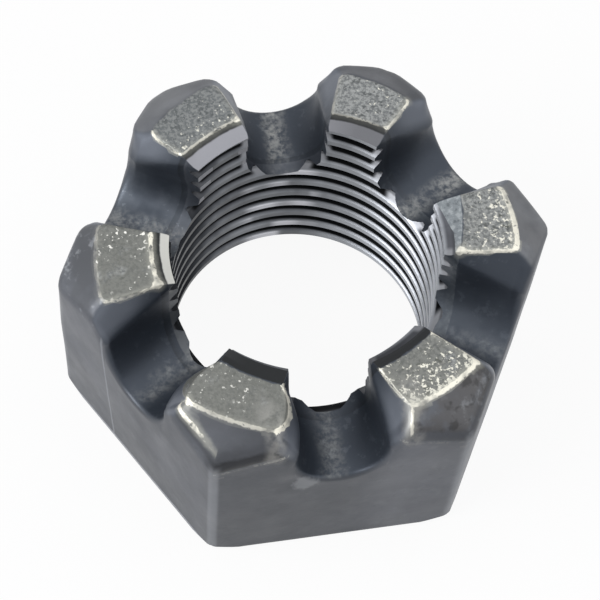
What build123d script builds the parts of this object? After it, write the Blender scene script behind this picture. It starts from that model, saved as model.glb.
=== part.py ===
"""Slotted hub nut, one hot-forged piece of steel.

A hexagon nut with a conical crown and a right-hand thread, 1 inch by 14 threads to the inch.
Six slots with round floors cross the middle of the flats, so that a tine stands at each
corner. A split pin goes through two opposite slots and the spindle's end, and stops the nut
from turning.

Frame: the thread's axis is Z, the bearing face lies on Z = 0 and the crown points up.
Two flats face +Y and -Y, and two corners point along +X and -X.
"""

import math
import os

from build123d import *

# Hexagon, in millimetres and degrees
across_flats = 38.1
nut_height = 21.1
corner_round = 1.2

# Crown: the tines' flat tops inside a cone that starts a little inside the flats
crown_face_inset = 0.95
crown_angle = 35.0
crown_edge_round = 1.2

# Foot: the bearing face inside a cone that takes off only the corners
corner_chamfer_reach = 1.4
foot_angle = 40.0
foot_edge_break = 0.3

# Thread: right-hand, 14 threads to the inch, with flat crests at the bore and flat roots
thread_diameter = 25.4
thread_depth = 0.9
thread_pitch = 1.8143
thread_flank_angle = 30.0
thread_height_at_back = 8.7
countersink_reach = 0.8
crown_countersink_angle = 20.0
foot_countersink_angle = 45.0

# Slots: a round floor, upright walls, and a mouth that flares more towards the flats
slot_width = 7.6
slot_depth = 7.9
mouth_flare_at_bore = 0.1
mouth_flare_at_flat = 2.4
mouth_depth_at_bore = 0.4
upright_wall_at_flat = 0.4
bend_share_of_wall = 0.75

# Rounding that forging leaves on the edges outside the bore
shoulder_round = 0.8
tine_top_round = 0.4

sides = 6
flat_distance = across_flats / 2
corner_distance = flat_distance / math.cos(math.pi / sides)
crown_face_radius = flat_distance - crown_face_inset
foot_face_radius = corner_distance - corner_chamfer_reach
bore_radius = thread_diameter / 2 - thread_depth
countersink_radius = thread_diameter / 2 + countersink_reach
floor_radius = slot_width / 2
floor_centre_height = nut_height - slot_depth + floor_radius
mouth_depth_at_flat = nut_height - floor_centre_height - upright_wall_at_flat
mouth_turn = math.atan(mouth_flare_at_flat / mouth_depth_at_flat)
mouth_bend_round = bend_share_of_wall * upright_wall_at_flat / math.tan(mouth_turn / 2)
# Heights at which each turn of the thread's groove starts, on the +X side
thread_start = thread_height_at_back - thread_pitch / 4
first_turn = -math.ceil(thread_start / thread_pitch) - 1
last_turn = math.ceil((nut_height - thread_start) / thread_pitch)
turn_heights = [thread_start + turn * thread_pitch for turn in range(first_turn, last_turn)]
# Cutting tools reach this far past the surfaces that they leave
overrun = 2.0
# Two lengths that differ by less than this are the same
tolerance = 0.01


def drop(reach, angle):
    """Height that a cone with this angle to the end face loses over a reach in radius."""
    return reach * math.tan(math.radians(angle))


def slot_section(distance, flare, depth):
    """A slot's section on the plane that faces -Y at a distance from the axis."""
    bend = nut_height - depth
    lip = floor_radius + flare * (depth + overrun) / depth
    with BuildSketch(Plane.XZ.offset(distance)) as section:
        with BuildLine():
            CenterArc((0, floor_centre_height), floor_radius, 180, 180)
            Polyline(
                (floor_radius, floor_centre_height),
                (floor_radius, bend),
                (lip, nut_height + overrun),
                (-lip, nut_height + overrun),
                (-floor_radius, bend),
                (-floor_radius, floor_centre_height),
            )
        make_face()
    return section.sketch


def is_mouth_bend(edge):
    """True for the lines along a slot where its walls turn into the flares."""
    middle = edge @ 0.5
    on_wall = abs(abs(middle.X) - floor_radius) < tolerance
    above_floor = middle.Z > floor_centre_height + tolerance
    runs_along = abs((edge @ 1 - edge @ 0).Y) > tolerance
    return on_wall and above_floor and runs_along


def is_shoulder(edge):
    """True for the edges where a slot meets the flats or the crown, below the tine's top."""
    ends = [edge @ 0, edge @ 1]
    clear_of_bore = min(math.hypot(end.X, end.Y) for end in ends) > countersink_radius + tolerance
    below_top = min(end.Z for end in ends) < nut_height - tolerance
    return clear_of_bore and below_top


def is_outside_bore(edge):
    """True for the edges of a tine's top that lie outside the countersink."""
    middle = edge @ 0.5
    return math.hypot(middle.X, middle.Y) > countersink_radius + tolerance


# One turn of the thread's groove: a V with a flat root, swept along a helix
with BuildPart() as groove_turn:
    root_half_width = thread_pitch / 16
    groove_reach = thread_depth + thread_pitch / 6
    mouth_half_width = root_half_width + groove_reach * math.tan(math.radians(thread_flank_angle))
    with BuildLine() as groove_path:
        Helix(pitch=thread_pitch, height=thread_pitch, radius=bore_radius)
    with BuildSketch(Plane.XZ):
        Polygon(
            (thread_diameter / 2 - groove_reach, -mouth_half_width),
            (thread_diameter / 2, -root_half_width),
            (thread_diameter / 2, root_half_width),
            (thread_diameter / 2 - groove_reach, mouth_half_width),
            align=None,
        )
    sweep(path=groove_path.line, is_frenet=True)

# One slot's cutter, from where its mouth meets the bore to past the flat that faces -Y
with BuildPart() as slot_cutter:
    bore_end = math.sqrt(bore_radius**2 - (floor_radius + mouth_flare_at_bore) ** 2)
    near_section = slot_section(bore_end, mouth_flare_at_bore, mouth_depth_at_bore)
    far_section = slot_section(flat_distance, mouth_flare_at_flat, mouth_depth_at_flat)
    loft([near_section, far_section], ruled=True)
    fillet(slot_cutter.edges().filter_by(is_mouth_bend), mouth_bend_round)
    extrude(slot_cutter.faces().sort_by(Axis.Y)[0], amount=overrun)

with BuildPart() as hub_nut:
    # Hexagonal blank with rounded corners
    with BuildSketch():
        RegularPolygon(flat_distance, sides, major_radius=False)
    extrude(amount=nut_height)
    fillet(hub_nut.edges().filter_by(Axis.Z), corner_round)

    # Crown and foot cones, turned about the thread's axis
    with BuildSketch(Plane.YZ):
        Polygon(
            (0, 0),
            (foot_face_radius, 0),
            (corner_distance, drop(corner_distance - foot_face_radius, foot_angle)),
            (corner_distance, nut_height - drop(corner_distance - crown_face_radius, crown_angle)),
            (crown_face_radius, nut_height),
            (0, nut_height),
            align=None,
        )
    revolve(axis=Axis.Z, mode=Mode.INTERSECT)
    crown_cone = hub_nut.faces().filter_by(GeomType.CONE).sort_by(Axis.Z)[-1]
    crown_edges = crown_cone.edges().filter_by(lambda edge: (edge @ 0.5).Z < nut_height - tolerance)
    fillet(crown_edges.filter_by(GeomType.LINE, reverse=True), crown_edge_round)
    foot_edges = hub_nut.faces().sort_by(Axis.Z)[0].edges()
    chamfer(foot_edges, foot_edge_break)

    # Bore at the thread's crests, with a countersink at each end
    sink_reach = countersink_radius - bore_radius
    with BuildSketch(Plane.YZ):
        Polygon(
            (0, 0),
            (countersink_radius, 0),
            (bore_radius, drop(sink_reach, foot_countersink_angle)),
            (bore_radius, nut_height - drop(sink_reach, crown_countersink_angle)),
            (countersink_radius, nut_height),
            (0, nut_height),
            align=None,
        )
    revolve(axis=Axis.Z, mode=Mode.SUBTRACT)

    # Thread, turn by turn, because one long helix is more than the kernel cuts cleanly
    for turn_height in turn_heights:
        with Locations((0, 0, turn_height)):
            add(groove_turn.part, mode=Mode.SUBTRACT)

    # Slots across the flats, then the rounding of the six tines that they leave
    with PolarLocations(0, sides):
        add(slot_cutter.part, mode=Mode.SUBTRACT)
    fillet(hub_nut.edges(Select.LAST).filter_by(is_shoulder), shoulder_round)
    top_range = (nut_height - tolerance, nut_height + tolerance)
    tine_tops = hub_nut.faces().filter_by_position(Axis.Z, *top_range)
    fillet(tine_tops.edges().filter_by(is_outside_bore), tine_top_round)

hub_nut.part.label = "hub_nut"
os.makedirs("parts", exist_ok=True)
export_step(hub_nut.part, "parts/hub_nut.step")
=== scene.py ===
# %% [markdown]
# # A slotted hub nut in forged steel
#
# The nut is hot-forged in one blow from a slug of steel, trimmed, and then tapped. What the eye reads is
# the contrast between three finishes: dark scale on the forged faces, bright grainy metal where the six
# tine tops were sheared, and smooth silvery metal where the tap has cut the thread.
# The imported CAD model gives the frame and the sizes. This script makes a finer nut inside the same box.

# %% Load the CAD frame
import math

import bmesh
import bpy
import numpy as np
from mathutils import Matrix, Vector


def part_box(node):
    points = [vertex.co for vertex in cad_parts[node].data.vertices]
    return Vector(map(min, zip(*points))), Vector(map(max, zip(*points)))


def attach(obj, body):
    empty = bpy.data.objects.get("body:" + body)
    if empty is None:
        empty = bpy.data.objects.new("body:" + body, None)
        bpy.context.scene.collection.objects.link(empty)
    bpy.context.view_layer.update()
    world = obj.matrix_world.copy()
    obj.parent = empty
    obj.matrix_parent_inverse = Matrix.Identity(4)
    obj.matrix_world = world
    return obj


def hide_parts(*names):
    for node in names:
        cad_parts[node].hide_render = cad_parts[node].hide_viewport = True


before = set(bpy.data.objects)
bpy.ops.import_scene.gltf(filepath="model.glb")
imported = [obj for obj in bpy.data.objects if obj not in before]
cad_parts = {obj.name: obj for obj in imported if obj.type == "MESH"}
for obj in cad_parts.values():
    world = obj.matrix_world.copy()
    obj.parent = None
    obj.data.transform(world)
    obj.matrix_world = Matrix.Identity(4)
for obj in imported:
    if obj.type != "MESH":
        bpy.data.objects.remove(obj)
MM = 0.001
cad_low, cad_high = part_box("hub_nut")
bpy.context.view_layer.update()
print("Nodes in the frame:", len(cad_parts))
print("CAD box in mm:", [round(v / MM, 3) for v in cad_low], [round(v / MM, 3) for v in cad_high])

# %% [markdown]
# ## The camera
#
# The photograph looks down on the nut from the front at about 61 degrees, with a long lens and a slight
# roll. The camera's three axes are worked out from those angles. Its place is given in widths of the nut
# across the flats, because the photograph only shows proportions. A camera could also be pointed with a
# Track To constraint, but then its roll would need a second object.

# %% Camera
ACROSS_FLATS = 38.1
VIEW_AZIMUTH, VIEW_ELEVATION, VIEW_ROLL = (math.radians(a) for a in (-14.703, 61.3645, 6.126))
FOCAL_PIXELS, FRAME_PIXELS, SENSOR_MM = 1843.5, 600, 36.0
# Where the camera stands, along its own three axes, in widths across the flats
TO_THE_RIGHT, UPWARD, BACK = 0.0096, 0.1281, 4.6414


def add_object(name, data):
    """A new object with this camera, mesh or lamp, in the scene."""
    made = bpy.data.objects.new(name, data)
    bpy.context.scene.collection.objects.link(made)
    return made


toward_camera = Vector((
    math.sin(VIEW_AZIMUTH) * math.cos(VIEW_ELEVATION),
    -math.cos(VIEW_AZIMUTH) * math.cos(VIEW_ELEVATION),
    math.sin(VIEW_ELEVATION),
))
level = Vector((math.cos(VIEW_AZIMUTH), math.sin(VIEW_AZIMUTH), 0))
upright = toward_camera.cross(level)
right = level * math.cos(VIEW_ROLL) + upright * math.sin(VIEW_ROLL)
up = upright * math.cos(VIEW_ROLL) - level * math.sin(VIEW_ROLL)
camera_place = (right * TO_THE_RIGHT + up * UPWARD + toward_camera * BACK) * ACROSS_FLATS * MM

camera = add_object("camera", bpy.data.cameras.new("camera"))
camera.data.sensor_width = SENSOR_MM
camera.data.lens = FOCAL_PIXELS / FRAME_PIXELS * SENSOR_MM
camera.data.clip_start, camera.data.clip_end = 0.01, 10
turned = Matrix((right, up, toward_camera)).transposed().to_4x4()
camera.matrix_world = Matrix.Translation(camera_place) @ turned
bpy.context.scene.camera = camera
print("Lens in mm:", round(camera.data.lens, 2), "camera at", [round(v, 4) for v in camera_place])

# %% [markdown]
# ## The nut's sizes
#
# These are the CAD part's own sizes, in millimetres. Everything below is worked out from them, so that the
# fine mesh lies on the CAD solid. A Bevel modifier would round all edges alike. A forging die leaves each
# kind of edge its own softness, and handling wears some of them further, so each has its own rounding here.

# %% Sizes
HEIGHT, FLAT, SIDES = 21.1, ACROSS_FLATS / 2, 6
HALF_SECTOR = math.pi / SIDES
CROWN_RADIUS, CROWN_ANGLE = 18.1, math.radians(35)
FOOT_RADIUS, FOOT_ANGLE = 20.6, math.radians(40)
BORE, SINK = 11.8, 13.5
TOP_SINK_ANGLE, FOOT_SINK_ANGLE = math.radians(20), math.radians(45)
SLOT_HALF, FLOOR_CENTRE = 3.8, 17.0
FLARE_AT_BORE, FLARE_AT_FLAT = 0.1, 2.4
MOUTH_DEPTH_AT_BORE, MOUTH_DEPTH_AT_FLAT = 0.4, 3.7
MOUTH_START = math.sqrt(BORE**2 - (SLOT_HALF + FLARE_AT_BORE) ** 2)
# Edge roundings
CORNER_ROUND, CROWN_ROUND, TOP_ROUND, BEND_ROUND = 0.5, 0.37, 0.12, 0.13
FOOT_ROUND, BEARING_FACE_ROUND = 0.05, 0.35
# Roundings of the shoulders over the slots, by height
SHOULDER_ROUND = {14.5: 0.45, 16.5: 0.8, 18.4: 0.8, 20.0: 0.35}
# What full wear adds to the roundings, and the heights between which wear sets in
CORNER_WEAR, LIP_WEAR, SHOULDER_WEAR = 2.0, 0.9, 1.5
WEAR_HEIGHTS = (12, 19)
# The shoulders wear only near the flats: not at the first radius, in full from the second on
SHOULDER_WEAR_RADII = (17.0, 18.6)
print("Corner to corner before rounding, mm:", round(2 * FLAT / math.cos(HALF_SECTOR), 2))

# %% [markdown]
# ## Distances to the nut's faces
#
# Forged edges are never sharp. Bevelling such a shape by hand is slow, so the rounding comes from maths:
# each face is a signed distance, positive outside the steel, and a *rounded maximum* joins two of them with
# a soft edge. A point is then pushed along the slope of the whole distance until it reads zero.
# The shape repeats every 60 degrees and mirrors within that, so all of it is written for half a sector:
# `x` runs outward along a slot and `s` is the distance to the slot's middle.


# %% Distances
def rounded_max(a, b, radius):
    """The larger of two distances, with a soft edge where they meet."""
    both = np.sqrt(np.maximum(a + radius, 0) ** 2 + np.maximum(b + radius, 0) ** 2) - radius
    return np.where((a > -radius) & (b > -radius), both, np.maximum(a, b))


def mouth(x):
    """Height of the bend in a slot's wall, and the slope of the flare above it, at a distance x."""
    # It grows on a little past the flat, for points that are still outside the steel
    share = np.clip((x - MOUTH_START) / (FLAT - MOUTH_START), 0, 1.3)
    depth = MOUTH_DEPTH_AT_BORE + (MOUTH_DEPTH_AT_FLAT - MOUTH_DEPTH_AT_BORE) * share
    flare = FLARE_AT_BORE + (FLARE_AT_FLAT - FLARE_AT_BORE) * share
    return HEIGHT - depth, flare / depth


def end_height(r):
    """Height of the nut's upper end at a radius: countersink, flat top or crown."""
    crown = HEIGHT - (r - CROWN_RADIUS) * math.tan(CROWN_ANGLE)
    sink = HEIGHT - (SINK - r) * math.tan(TOP_SINK_ANGLE)
    return np.minimum(np.minimum(crown, sink), HEIGHT)


def faces_of(x, s, z):
    """Signed distances in mm to the kinds of face, at points of a half sector."""
    r = np.hypot(x, s)
    bend, slope = mouth(x)
    wall = SLOT_HALF - np.hypot(s, np.minimum(z - FLOOR_CENTRE, 0))
    flare = (SLOT_HALF + slope * (z - bend) - s) / np.sqrt(1 + slope**2)
    flare = np.where(z > FLOOR_CENTRE, flare, -1)
    return {
        "flat": x - FLAT,
        "next_flat": x * math.cos(2 * HALF_SECTOR) + s * math.sin(2 * HALF_SECTOR) - FLAT,
        "crown": (r - CROWN_RADIUS) * math.sin(CROWN_ANGLE) + (z - HEIGHT) * math.cos(CROWN_ANGLE),
        "top": z - HEIGHT,
        "foot": (r - FOOT_RADIUS) * math.sin(FOOT_ANGLE) - z * math.cos(FOOT_ANGLE),
        "bottom": -z,
        "slot": rounded_max(wall, flare, BEND_ROUND),
        "bore": BORE - r,
        "sink": (SINK - r) * math.sin(TOP_SINK_ANGLE) + (z - HEIGHT) * math.cos(TOP_SINK_ANGLE),
        "foot_sink": (SINK - r) * math.sin(FOOT_SINK_ANGLE) - z * math.cos(FOOT_SINK_ANGLE),
    }


def steel(points, wear=0.0, lip_wear=0.0):
    """Signed distance to the rounded nut, for points of a half sector. Wear rounds its upper edges more."""
    x, s, z = points.T
    f = faces_of(x, s, z)
    upper = np.interp(z, WEAR_HEIGHTS, (0, 1))
    body = rounded_max(f["flat"], f["next_flat"], CORNER_ROUND + CORNER_WEAR * upper * wear)
    body = rounded_max(body, f["crown"], CROWN_ROUND + LIP_WEAR * upper * lip_wear)
    body = rounded_max(body, f["foot"], FOOT_ROUND)
    body = rounded_max(body, f["bottom"], BEARING_FACE_ROUND)
    near_flats = np.interp(np.hypot(x, s), SHOULDER_WEAR_RADII, (0, 1))
    shoulder = np.interp(z, list(SHOULDER_ROUND), list(SHOULDER_ROUND.values()))
    body = rounded_max(body, f["slot"], shoulder + SHOULDER_WEAR * upper * wear * near_flats)
    body = rounded_max(body, f["top"], TOP_ROUND)
    return np.max([body, f["bore"], f["sink"], f["foot_sink"]], axis=0)


outside_flat = np.array([[FLAT + 0.5, 4.0, 8.0]])
print("Distance read half a millimetre outside a flat:", steel(outside_flat).round(2))

# %% [markdown]
# ## Half a sector as a net of lines
#
# A net that follows the shape shades better than one cut at random. Each line of this net is a closed loop
# round the section: out along the slot or the tine's top, down the flat, in along the bearing face and up
# the bore. The lines crowd together near each edge, where the rounding needs them.


# %% Lines of the net
def solve_x(line, radius):
    """Distance along a slot at which a line of the net reaches a radius, by closing in on it."""
    x = np.float64(radius)
    for _ in range(60):
        x = math.sqrt(max(radius**2 - line(x)[0] ** 2, 0.01))
    return x


def tine_edge(x):
    """Place across the slot, and height, of the edge between a slot's mouth and the tine's top."""
    bend, slope = mouth(x)
    z = HEIGHT
    for _ in range(30):
        s = SLOT_HALF + slope * max(z - bend, 0)
        z = float(end_height(math.hypot(x, s)))
    return s, z


def floor_line(angle):
    """The line along a slot's round floor at this angle from its lowest point."""
    return lambda x: (SLOT_HALF * math.sin(angle), FLOOR_CENTRE - SLOT_HALF * math.cos(angle))


def wall_line(share, above_bend):
    """A line along a slot's upright wall, or along the flare above its bend."""

    def line(x):
        bend, slope = mouth(x)
        z_top = tine_edge(x)[1]
        # Where the crown cuts the wall low, the bend stays a little under its edge
        turn = min(bend, FLOOR_CENTRE + 0.85 * (z_top - FLOOR_CENTRE))
        low, high = (turn, z_top) if above_bend else (FLOOR_CENTRE, turn)
        z = low + share * (high - low)
        return SLOT_HALF + slope * max(z - bend, 0), z

    return line


def top_line(share):
    """A line along a tine's top and down its crown, from the slot's edge to the tine's middle."""

    def line(x):
        s_edge = tine_edge(x)[0]
        s = s_edge + share * (x * math.tan(HALF_SECTOR) - s_edge)
        return s, float(end_height(math.hypot(x, s)))

    return line


# %% Spread the lines over the foot
# Where each family of lines ends at the foot: mm across the flat, and degrees round the bore
MIDDLE_FOOT, FLOOR_FOOT, WALL_FOOT, FLARE_FOOT = (0, 0), (4.3, 16.5), (4.9, 19.0), (6.3, 21.5)
TINE_FOOT = (FLAT * math.tan(HALF_SECTOR), math.degrees(HALF_SECTOR))
ON_WALL, ON_FLARE = (0.35, 0.7, 1.0), (0.12, 0.28, 0.46, 0.64, 0.79, 0.9, 0.96, 1.0)
TO_TINE_MIDDLE = (0.03, 0.09, 0.18, 0.3, 0.44, 0.58, 0.71, 0.82, 0.9, 0.96, 1.0)


def foot_between(start, end, share):
    return [a + share * (b - a) for a, b in zip(start, end)]


net = []
for share in np.linspace(0, 1, 12):
    net.append((floor_line(share * math.pi / 2), *foot_between(MIDDLE_FOOT, FLOOR_FOOT, share)))
for share in ON_WALL:
    net.append((wall_line(share, False), *foot_between(FLOOR_FOOT, WALL_FOOT, share)))
for share in ON_FLARE:
    net.append((wall_line(share, True), *foot_between(WALL_FOOT, FLARE_FOOT, share)))
for share in TO_TINE_MIDDLE:
    net.append((top_line(share), *foot_between(FLARE_FOOT, TINE_FOOT, share)))
print("Lines in half a sector:", len(net))

# %% Places along each line
# Shares of each stretch, and distances in mm from the ends of the flat
IN_SINK = (0, 0.08, 0.25, 0.5, 0.75, 0.92)
ON_TOP = (0, 0.02, 0.07, 0.14, 0.22, 0.32, 0.42, 0.52, 0.62, 0.72, 0.81, 0.89, 0.95)
ON_CROWN = (0, 0.04, 0.1, 0.2, 0.32, 0.45, 0.57, 0.68, 0.78, 0.86, 0.92, 0.97)
ON_BEARING_FACE = (0.04, 0.12, 0.3, 0.5, 0.7, 0.9)
UNDER_CROWN, OVER_FOOT = (0, 0.15, 0.35, 0.6, 0.9, 1.3, 1.9), (0, 0.12, 0.3, 0.6, 1.2)


def heights_down(start, stop):
    """Heights down a flat: close together at both ends and even between them."""
    middle = np.linspace(start - UNDER_CROWN[-1], stop + OVER_FOOT[-1], 14)[1:-1]
    return [start - d for d in UNDER_CROWN] + list(middle) + [stop + d for d in reversed(OVER_FOOT)]


print("Places from bore to flat:", len(IN_SINK) + len(ON_TOP) + len(ON_CROWN))


# %% Points of one line
def loop(line, foot_s, bore_degrees):
    """One closed line of the net, as points in mm."""
    points = []
    # Out along the slot, or over the tine's top and crown
    at_bore, at_sink, at_crown = (solve_x(line, r) for r in (BORE, SINK, CROWN_RADIUS))
    stretches = ((at_bore, at_sink, IN_SINK), (at_sink, at_crown, ON_TOP), (at_crown, FLAT, ON_CROWN))
    for start, stop, places in stretches:
        for place in places:
            x = start + place * (stop - start)
            points.append((x, *line(x)))
    # Down the flat
    s_top, z_top = line(FLAT)
    foot_r = math.hypot(FLAT, foot_s)
    z_foot = max(foot_r - FOOT_RADIUS, 0) * math.tan(FOOT_ANGLE)
    for z in heights_down(z_top, z_foot):
        points.append((FLAT, s_top + (foot_s - s_top) * (z_top - z) / (z_top - z_foot), z))
    # In along the foot's cone and the bearing face
    foot_angle, bore_angle = math.atan2(foot_s, FLAT), math.radians(bore_degrees)
    # At the middle of a flat the foot's cone is missing, and the rim stays 0.3 mm inside the flat
    rim = min(FOOT_RADIUS, foot_r - 0.3)
    radii = [foot_r + (rim - foot_r) * 0.5, rim]
    radii += [rim + (SINK - rim) * place for place in ON_BEARING_FACE]
    for r in radii:
        z = max(r - FOOT_RADIUS, 0) * math.tan(FOOT_ANGLE)
        turn = bore_angle + (foot_angle - bore_angle) * (r - SINK) / (foot_r - SINK)
        points.append((r * math.cos(turn), r * math.sin(turn), z))
    # Up the foot's countersink and the bore
    for r in np.linspace(SINK, BORE, 4)[:-1]:
        points.append((r * math.cos(bore_angle), r * math.sin(bore_angle), SINK - r))
    s_bore, z_bore = line(at_bore)
    top_angle = math.asin(s_bore / BORE)
    for place in np.linspace(0, 1, 14)[:-1]:
        turn = bore_angle + (top_angle - bore_angle) * place
        z = SINK - BORE + (z_bore - SINK + BORE) * place
        points.append((BORE * math.cos(turn), BORE * math.sin(turn), z))
    return points


grid = np.array([loop(*entry) for entry in net])
print("Points in the net:", grid.shape)


# %% Push the net onto the rounded steel
def slope_of(field, points, step=1e-4):
    """Direction in which a distance grows fastest, by small differences."""
    along = [(field(points + step * axis) - field(points - step * axis)) / (2 * step) for axis in np.eye(3)]
    return np.stack(along, axis=1)


def press_onto(field, points, rounds=12):
    """Moves points along the slope of a distance until it reads zero, nine tenths of the way each round."""
    for _ in range(rounds):
        slope = slope_of(field, points)
        # Where faces cancel out, the slope is small: the limit keeps a point from leaping away
        steepness = np.maximum((slope**2).sum(1), 0.3)
        points = points - (field(points) / steepness)[:, None] * slope * 0.9
    return points


grid = press_onto(steel, grid.reshape(-1, 3)).reshape(grid.shape)
# The first and last lines stay on the planes that the mirror copies meet in
grid[0, :, 1] = 0
last_r = np.hypot(grid[-1, :, 0], grid[-1, :, 1])
grid[-1, :, 0], grid[-1, :, 1] = last_r * math.cos(HALF_SECTOR), last_r * math.sin(HALF_SECTOR)
print("Largest gap left, mm:", np.abs(steel(grid.reshape(-1, 3))).max().round(4))

# %% Half-sector mesh
rows, columns = grid.shape[:2]
corners = []
for this_row in range(0, (rows - 1) * columns, columns):
    next_row = this_row + columns
    for i in range(columns):
        after = (i + 1) % columns
        corners.append((this_row + i, next_row + i, next_row + after, this_row + after))
half_mesh = bpy.data.meshes.new("half_sector")
half_mesh.from_pydata((grid.reshape(-1, 3) * MM).tolist(), [], corners)
half_sector = add_object("half_sector", half_mesh)
print("Faces in half a sector:", len(half_mesh.polygons))

# %% [markdown]
# ## Twelve copies make the nut
#
# The six slots of the nut are alike, and each is its own mirror image. An Array modifier could repeat them.
# A Geometry Nodes tree does all of it in one place: it mirrors the half sector, sets six of the result
# round the axis and welds the seams. The number of slots and the weld distance are named inputs.


# %% Node helper
DIVIDE, MULTIPLY, MULTIPLY_ADD, MAXIMUM = (
    {"operation": name} for name in ("DIVIDE", "MULTIPLY", "MULTIPLY_ADD", "MAXIMUM")
)


def add_node(tree, kind, settings=None, inputs=None):
    """Adds a node. Settings are its properties; inputs are values, or nodes or sockets to link from."""
    node = tree.nodes.new(kind)
    for name, value in (settings or {}).items():
        setattr(node, name, value)
    for name, value in (inputs or {}).items():
        if isinstance(value, bpy.types.Node):
            value = next(output for output in value.outputs if output.enabled)
        if isinstance(value, bpy.types.NodeSocket):
            tree.links.new(value, node.inputs[name])
        else:
            node.inputs[name].default_value = value
    return node


# %% Tree helpers
def new_tree(name, named_inputs):
    """A geometry tree with a geometry input and output and more named inputs, as (tree, its inputs)."""
    tree = bpy.data.node_groups.new(name, "GeometryNodeTree")
    for label, kind in {"Geometry": "Geometry", **named_inputs}.items():
        tree.interface.new_socket(name=label, in_out="INPUT", socket_type="NodeSocket" + kind)
    tree.interface.new_socket(name="Geometry", in_out="OUTPUT", socket_type="NodeSocketGeometry")
    return tree, tree.nodes.new("NodeGroupInput").outputs


def plain_mesh(base, name):
    """The evaluated object as a plain mesh object; the object that it came from is removed."""
    evaluated = base.evaluated_get(bpy.context.evaluated_depsgraph_get())
    mesh = bpy.data.meshes.new_from_object(evaluated)
    mesh.name = name
    bpy.data.objects.remove(base)
    return add_object(name, mesh)


def run_tree(tree, base, values, name):
    """Runs a tree on an object, with values for its named inputs, and returns a plain mesh object."""
    modifier = base.modifiers.new(tree.name, "NODES")
    modifier.node_group = tree
    for item in tree.interface.items_tree:
        if item.in_out == "INPUT" and item.name in values:
            modifier[item.identifier] = values[item.name]
    return plain_mesh(base, name)


# %% Sector tree
scale_steel = bpy.data.materials.new("hot_forged_steel_with_scale")
cut_steel = bpy.data.materials.new("tapped_bright_steel")

sector_tree, given = new_tree(
    "six_slotted_sectors", {"Sectors": "Int", "Weld distance": "Float", "Steel": "Material"}
)
half = given["Geometry"]
mirrored = add_node(sector_tree, "GeometryNodeTransform", inputs={"Geometry": half, "Scale": (1, -1, 1)})
turned_out = add_node(sector_tree, "GeometryNodeFlipFaces", inputs={"Mesh": mirrored})
sector = add_node(sector_tree, "GeometryNodeJoinGeometry", inputs={"Geometry": turned_out})
sector_tree.links.new(half, sector.inputs["Geometry"])
spots = add_node(sector_tree, "GeometryNodePoints", inputs={"Count": given["Sectors"]})
number = add_node(sector_tree, "GeometryNodeInputIndex")
step = add_node(sector_tree, "ShaderNodeMath", DIVIDE, {0: math.tau, 1: given["Sectors"]})
turn = add_node(sector_tree, "ShaderNodeMath", MULTIPLY_ADD, {0: number, 1: step, 2: HALF_SECTOR})
euler = add_node(sector_tree, "ShaderNodeCombineXYZ", inputs={"Z": turn})
rotation = add_node(sector_tree, "FunctionNodeEulerToRotation", inputs={"Euler": euler})
ring = add_node(
    sector_tree,
    "GeometryNodeInstanceOnPoints",
    inputs={"Points": spots, "Instance": sector, "Rotation": rotation},
)
real = add_node(sector_tree, "GeometryNodeRealizeInstances", inputs={"Geometry": ring})
welded = add_node(
    sector_tree,
    "GeometryNodeMergeByDistance",
    inputs={"Geometry": real, "Distance": given["Weld distance"]},
)
finished = add_node(
    sector_tree, "GeometryNodeSetMaterial", inputs={"Geometry": welded, "Material": given["Steel"]}
)
add_node(sector_tree, "NodeGroupOutput", inputs={"Geometry": finished})
print("Nodes in the sector tree:", len(sector_tree.nodes))

# %% Nut blank
WELD_DISTANCE = 0.002


def point_outwards(made):
    """Points every face of a closed mesh outwards, and prints what the mesh holds."""
    shell = bmesh.new()
    shell.from_mesh(made.data)
    bmesh.ops.recalc_face_normals(shell, faces=shell.faces)
    open_edges = sum(not edge.is_manifold for edge in shell.edges)
    volume = round(shell.calc_volume() / MM**3)
    shell.to_mesh(made.data)
    shell.free()
    faces = len(made.data.polygons)
    print(made.name, "has", faces, "faces,", open_edges, "open edges and a volume of", volume, "mm3")


sizes = {"Sectors": SIDES, "Weld distance": WELD_DISTANCE * MM, "Steel": scale_steel}
nut = run_tree(sector_tree, half_sector, sizes, "nut_blank")
point_outwards(nut)

# %% [markdown]
# ## Edges rounded more on some tines
#
# No two tines of a forging are alike. The metal fills some corners of the die less than others, and what
# stands out is rubbed in handling. One could sculpt each edge by hand. Here the blank is pushed onto the
# same rounded steel once more, with a wear that changes with the angle round the nut, because that leaves
# the net even.


# %% Points of a mesh
def rows_of(items, name):
    """A property with three numbers, of all vertices or faces of a mesh, as rows."""
    flat = np.empty(len(items) * 3)
    items.foreach_get(name, flat)
    return flat.reshape(-1, 3)


def points_of(made):
    """A mesh object's points in mm."""
    return rows_of(made.data.vertices, "co") / MM


def move_points(made, points):
    """Puts a mesh object's points at these places in mm."""
    made.data.vertices.foreach_set("co", (points * MM).ravel())
    made.data.update()


def fold(points):
    """Moves points of the nut into one half sector, as (x along the slot, s across it, z)."""
    angle = np.arctan2(points[:, 1], points[:, 0])
    sector_angle = 2 * HALF_SECTOR
    off = angle - HALF_SECTOR - sector_angle * np.round((angle - HALF_SECTOR) / sector_angle)
    r = np.hypot(points[:, 0], points[:, 1])
    return r * np.cos(off), np.abs(r * np.sin(off)), points[:, 2]


# %% Wear that changes with the angle
# What the shoulders and the crown's lip have lost, from 0 to 1, by angle in degrees
EDGE_LOSS = {0: 0.1, 60: 0.55, 120: 0.65, 180: 0.3, 240: 0.1, 300: 0.15, 360: 0.1}
LIP_LOSS = {0: 0.2, 60: 0.4, 120: 0.35, 180: 0.1, 210: 0.6, 240: 1.0, 300: 1.0, 330: 0.6, 360: 0.3}


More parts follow.
